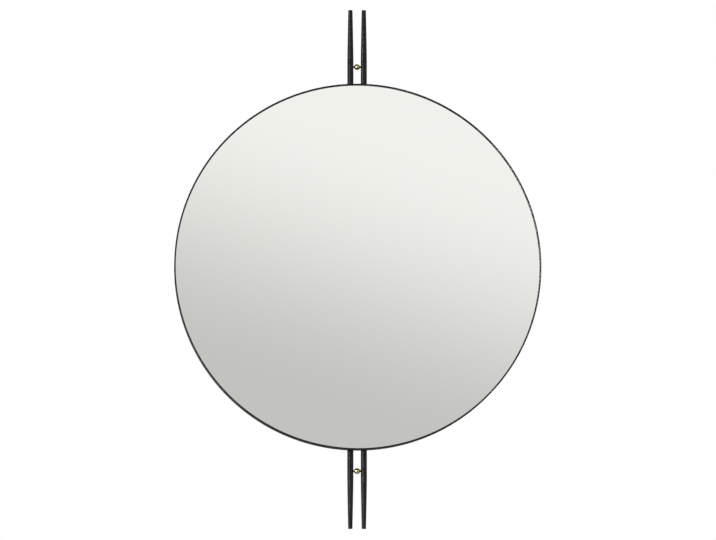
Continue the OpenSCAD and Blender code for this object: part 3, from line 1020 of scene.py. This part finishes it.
# %% Saddles, washers and rod screws
def cupped_peg(x, z, base_y, towards_rod, full_length, peg_r):
    """A peg from base_y along y, its end cut by the rod on the same x. towards_rod is +1 or -1."""
    reach = [0, peg_r - EASED, peg_r, peg_r, peg_r - EASED, *np.linspace(peg_r - 1, 0, 12)]
    reach = np.array(reach)[:, None]
    eased = EASED / full_length
    share = np.array([0, 0, eased, 1 - eased] + [1] * 13)
    angle = round_angles(96)
    across = reach * np.cos(angle)
    to_rod = abs(ROD_Y - base_y) - np.sqrt(np.clip((ROD_R + FIT) ** 2 - across**2, 0, None))
    y = base_y + towards_rod * share[:, None] * np.minimum(full_length, to_rod)
    worn = np.isin(np.arange(len(share)), (1, 2, 3, 4)) * 0.8
    return grid(np.stack([x + across, y, z + reach * np.sin(angle)], 2), wear=worn)


SADDLE = (RAIL_REAR_Y, 1, 14.5, 7.0)
WASHER_REAR_Y = -6.9
WASHER = (WASHER_REAR_Y, -1, 3.1, 5.6)
ROD_SCREW = (33.5, 2.5, 4.6, 2.8, 1.75)
for height, up in ENDS:
    places = [(x, up * RAIL_Z) for x in (-ROD_X, ROD_X)]
    saddles = [cupped_peg(x, z, *SADDLE) for x, z in places]
    washers = [cupped_peg(x, z, *WASHER) for x, z in places]
    rod_screws = [screw(x, z, WASHER_REAR_Y, *ROD_SCREW) for x, z in places]
    make_piece("saddles_" + height, saddles, black, "rod_saddles_" + height)
    make_piece("washers_" + height, washers, zinc, "saddle_washers_" + height)
    make_piece("screws_of_rods_" + height, rod_screws, zinc, "rod_screws_" + height)
    dress("rail_nuts_" + height, zinc)

# %% [markdown]
# ## Hanger bars
#
# The mirror hangs by two short bars between its rods. Each is a piece of drawn round bar with a
# thinner tenon at each end, which is welded into the rod. It is turned about x.

# %% Hanger bars
HOOK_Z = 250.0
HANGER_R = 4.0
TENON_R = 2.5
HANGER_HALF, TENON_HALF = 7.95, 12.5

hanger_profile = rounded(
    [(-TENON_HALF, 0), (-TENON_HALF, TENON_R), (-HANGER_HALF, TENON_R), (-HANGER_HALF, HANGER_R),
     (HANGER_HALF, HANGER_R), (HANGER_HALF, TENON_R), (TENON_HALF, TENON_R), (TENON_HALF, 0)],
    [0, 0.2, 0.1, 0.4, 0.4, 0.1, 0.2, 0],
)
for height, up in ENDS:
    hanger = turned(hanger_profile, (0, ROD_Y, up * HOOK_Z), RIGHTWARDS, 72)
    make_piece("hang_bar_" + height, [hanger], bare_steel, "hanger_bar_" + height)

# %% [markdown]
# ## Wall brackets
#
# A bracket is a cut plate with two screw holes and a hook welded on. The plate is two halves, each a
# ring from its hole out to its half of the outline: a point on the rim of the hole lies in the
# direction of its point on the outline. The halves share their points on the middle line, and the
# faces of that inner wall are dropped, so the two merge into one plate.

# %% Plate with two holes
PLATE_HALF_W, PLATE_HALF_H, PLATE_T = 42.0, 22.0, 3.0
PLATE_CORNER_R = 5.0
HOLE_X, HOLE_R = 30.0, 2.75
# how far a row is drawn in from the edge, its depth in the plate, and its wear
PLATE_EDGE = [(0.75, 0, 0), (0.35, 0, 1), (0.1, 0.1, 1), (0, 0.35, 1)]


def half_outline(side):
    """Half of the plate's outline and its outward normals: from the middle line along the foot,
    round two corners, back along the top, and down the middle line, where the normal is nought."""
    straight = np.array([PLATE_HALF_W, PLATE_HALF_H]) - PLATE_CORNER_R
    low = arc(straight * [1, -1], PLATE_CORNER_R, -90, 0, 8)
    high = (low * [1, -1])[::-1]
    foot = np.c_[np.linspace(0, low[0, 0], 18), np.full(18, -PLATE_HALF_H)]
    head = (foot * [1, -1])[::-1]
    seam = np.c_[np.zeros(14), np.linspace(PLATE_HALF_H, -PLATE_HALF_H, 16)[1:-1]]
    outline = np.vstack([foot[:-1], low, high, head[1:], seam])
    normal = (outline - np.clip(outline, -straight, straight)) / PLATE_CORNER_R
    return outline * [side, 1], normal * [side, 1]


def plate_half(side, middle_z):
    """The ring from one screw hole to its half of the outline, with the rows of PLATE_EDGE."""
    outline, normal = half_outline(side)
    hole = np.array([side * HOLE_X, 0.0])
    rows = PLATE_EDGE + [(inset, PLATE_T - depth, worn) for inset, depth, worn in PLATE_EDGE[::-1]]
    inset, depth, worn = np.array(rows).T
    outer = outline - normal * inset[:, None, None]
    inner = hole + unit(outline - hole) * (HOLE_R + inset[::-1, None, None])
    x, z = np.moveaxis(np.vstack([outer, inner]), 2, 0)
    y = -np.r_[depth, depth[::-1]][:, None] + 0 * x
    return grid(np.stack([x, y, z + middle_z], 2), True, np.r_[worn, worn[::-1]])


def not_inner_wall(corners):
    """Keeps every face but those that lie wholly on the plate's middle line."""
    is_plate = corners[..., 1].min(1) > -PLATE_T - 0.01
    return ~((np.abs(corners[..., 0]).max(1) < 1e-6) & is_plate)


print("half a plate has", len(half_outline(1)[0]), "points round it")

# %% [markdown]
# The hook is a thick strip of steel bent like a J. Its grid's rows run along the J, between an
# inner line, round the notch, and an outer line, round the outside, and its columns run round the
# strip. An outer point's partner on the notch lies on the line to the notch's middle. At both ends
# the two lines meet, which closes the strip.

# %% Hook
NOTCH_R = 4.3
TONGUE_HALF_W = 6.0
HOOK_TOP, HOOK_FOOT = 9.0, -13.0
HOOK_FOOT_R = 3.5
HOOK_EDGE = 0.6
LIP_Y = -24.55
LIP_R = 2.5
HOOK_BACK_Y = -1.5
HOOK_WELD_LEG = 2.0


def hook_lines():
    """Inner and outer lines of the hook in y and z, from the top of its back to the lip's top."""
    back_y, lip_in_y = ROD_Y + NOTCH_R, ROD_Y - NOTCH_R
    top_middle = ((back_y + HOOK_BACK_Y) / 2, HOOK_TOP)
    leg_z = np.array([HOOK_TOP, HOOK_TOP - 0.4, 6.0, 4.0, 2.0])
    leg_in = np.c_[[back_y + EASED] + [back_y] * 4, leg_z]
    leg_out = np.c_[HOOK_BACK_Y + 0 * leg_z, leg_z]
    foot, worn = rounded(
        [(HOOK_BACK_Y, 0.0), (HOOK_BACK_Y, HOOK_FOOT), (LIP_Y, HOOK_FOOT), (LIP_Y, 0.0)],
        [0, 0.5, HOOK_FOOT_R, 0], 6,
    )
    foot, worn = refined(foot, worn, 1.0)
    foot = foot[: np.argmax((foot[:, 0] < LIP_Y + 1e-6) & (foot[:, 1] > -1e-6)) + 1]
    notch_middle = np.array([ROD_Y, 0.0])
    foot_in = notch_middle + NOTCH_R * unit(foot - notch_middle)
    lip = arc((LIP_Y + LIP_R, HOOK_TOP - LIP_R), LIP_R, 180, 90, 8)
    lip_in = lip * [-1, 1] + [LIP_Y + lip_in_y, 0]
    return np.vstack([top_middle, leg_in, foot_in, lip_in]), np.vstack([top_middle, leg_out, foot, lip])


def hook(middle_z):
    """The strip between the two lines, with its four long edges eased: each column has a side that
    it is measured from, a depth from there into the strip, and a place across it."""
    inner, outer = (line[:, None] for line in hook_lines())
    thick = np.linalg.norm(outer - inner, axis=2, keepdims=True)
    way = (outer - inner) / np.maximum(thick, 1e-9)
    corner = np.array([0, 0.2, HOOK_EDGE])
    depth = np.hstack([corner, corner[::-1]] * 2)
    across = TONGUE_HALF_W - HOOK_EDGE + corner
    across = np.r_[across, across[::-1], -across, -across[::-1]]
    into = np.minimum(depth[None, :, None], thick / 2)
    from_inner = np.array([1] * 3 + [0] * 6 + [1] * 3)[None, :, None] > 0
    y, z = np.moveaxis(np.where(from_inner, inner + way * into, outer - way * into), 2, 0)
    return grid(np.stack([across + 0 * y, y, z + middle_z], 2), wear=0.3)


def hook_weld(side, middle_z):
    """A weld in the corner of the hook's cheek and the plate."""
    z = np.linspace(HOOK_FOOT + EASED, HOOK_TOP - EASED, 70)
    path = np.c_[0 * z + side * TONGUE_HALF_W, 0 * z - PLATE_T, z + middle_z]
    cheek, plate = np.zeros_like(path), np.zeros_like(path)
    cheek[:, 1], plate[:, 0] = -1, side
    return weld_bead(path, cheek, plate, HOOK_WELD_LEG)


for height, up in ENDS:
    z = up * HOOK_Z
    bracket = [plate_half(-1, z), plate_half(1, z), hook(z), hook_weld(-1, z), hook_weld(1, z)]
    make_piece(
        "hook_plate_" + height, bracket, galvanised_steel,
        "wall_bracket_" + height, "wall_brackets", not_inner_wall,
    )

# %% [markdown]
# ## Floor
#
# The mirror hangs with its middle at eye height, so the floor lies a metre and a half below it. It
# is a plain pale disc that keeps the object's shadow, fades into the white air at its rim, and lets
# a camera below it look through.

# %% Floor
FLOOR_Z = -1550.0
FLOOR_R = 4200.0
FLOOR_ROWS, FLOOR_COLUMNS = 15, 96

floor_r = np.linspace(0, FLOOR_R, FLOOR_ROWS)[:, None]
floor_angle = -round_angles(FLOOR_COLUMNS)
floor_points = np.stack([
    floor_r * np.cos(floor_angle), floor_r * np.sin(floor_angle), FLOOR_Z + 0 * floor_r * floor_angle
], 2).reshape(-1, 3) * MM
floor_mesh = bpy.data.meshes.new("studio_floor")
floor_faces = grid_faces(FLOOR_ROWS, FLOOR_COLUMNS, False)
floor_mesh.from_pydata(floor_points.tolist(), [], floor_faces.tolist())
put("studio_floor", floor_mesh)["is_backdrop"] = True

f = new_finish("floor_pale")
place = f.node("TexCoord", output="Object")
flat_place = f.node("VectorMath", {0: place, 1: (1.0, 1.0, 0.0)}, operation="MULTIPLY")
from_middle = f.node("VectorMath", {0: flat_place}, "Value", operation="LENGTH")
fade = step_between(from_middle, 0.35 * FLOOR_R * MM, 0.97 * FLOOR_R * MM)
underside = f.node("NewGeometry", output="Backfacing")
gone_share = fade.math("MAXIMUM", fade, underside)
pale = f.node("BsdfDiffuse", {"Color": (0.86, 0.86, 0.85, 1.0)})
gone = f.node("BsdfTransparent")
f.node("OutputMaterial", {"Surface": f.node("MixShader", {0: gone_share, 1: pale, 2: gone})})
floor_mesh.materials.append(f.owner)
print("floor %.2f m below the middle" % -(FLOOR_Z * MM))

# %% [markdown] ## Is it still the same size? A finish must not grow the object. The dressed
# model's box is set against the bare model's, and both are kept side by side.

# %% Size and finish
dressed_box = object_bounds()
boxes = {
    "cad": [list(corner) for corner in cad_box],
    "visual": [list(corner) for corner in dressed_box],
}
grown = max(abs(a - b) for old, new in zip(boxes["cad"], boxes["visual"]) for a, b in zip(old, new))
meshes = [piece.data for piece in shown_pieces()]
for mesh in meshes:
    mesh.calc_loop_triangles()
triangles = sum(len(mesh.loop_triangles) for mesh in meshes)
print("boxes within %.2f mm, %d triangles in all" % (grown / MM, triangles))
